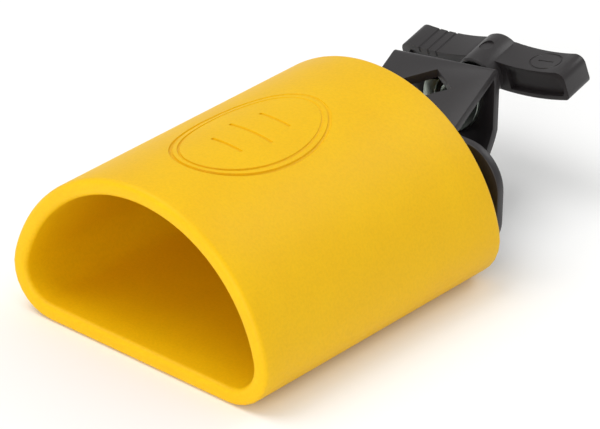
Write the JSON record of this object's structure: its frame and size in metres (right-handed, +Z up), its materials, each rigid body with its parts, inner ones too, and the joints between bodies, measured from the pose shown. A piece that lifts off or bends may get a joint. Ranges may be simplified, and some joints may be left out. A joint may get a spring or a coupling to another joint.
{
  "type": "block cowbell",
  "caption": "Hollow moulded block bell, open at the front, with a swivelling steel rod clamp and a wing-handled clamp screw behind it.",
  "frame": {"origin": "middle of the bell's flat base", "axes": "+Z up, mouth towards -Y, clamp towards +Y"},
  "size_m": [0.102, 0.174, 0.059],
  "materials": {
    "bell_plastic": "moulded, fine pebble grain",
    "black_steel": "black powder coat",
    "zinc": "zinc plated",
    "steel": "bright fastener steel",
    "rubber": "matt",
    "nylon": "natural nylon",
    "handle_plastic": "glass-filled nylon"
  },
  "bodies": {
    "bell": {"block_shell": "bell_plastic", "isolator_pad": "rubber", "base_plate": "black_steel", "plate_screws": "steel", "plate_washers": "steel", "plate_nuts": "steel", "swivel_bolt": "steel", "wall_bush": "rubber", "backing_washer": "steel", "lock_nut": "steel", "lock_nut_insert": "nylon", "friction_washer": "nylon", "bolt_washer": "steel", "spring_washer": "steel"},
    "bracket": {"clamp_strap": "black_steel", "clamp_boss": "zinc", "seat_plate": "zinc"},
    "tip": {"tip_pad": "nylon"},
    "handle": {"clamp_screw": "steel", "wing_handle": "handle_plastic"}
  },
  "joints": [
    {"name": "bracket_swivel", "type": "hinge", "parent": "bell", "child": "bracket", "pos_m": [0, 0.0644, 0.021], "axis": [0, 1, 0], "range_deg": [-4.5, 25.5]},
    {"name": "tip_advance", "type": "slide", "parent": "bracket", "child": "tip", "axis": [0.041, -0.9744, -0.2212], "range_m": [0, 0.00353]},
    {"name": "handle_turn", "type": "hinge", "parent": "tip", "child": "handle", "pos_m": [0.00191, 0.09226, 0.03376], "axis": [0.041, -0.9744, -0.2212], "range_deg": [0, 900]}
  ],
  "couplings": [
    {"joint": "tip_advance", "follows": "handle_turn", "m_per_rad": 0.00022458}
  ]
}
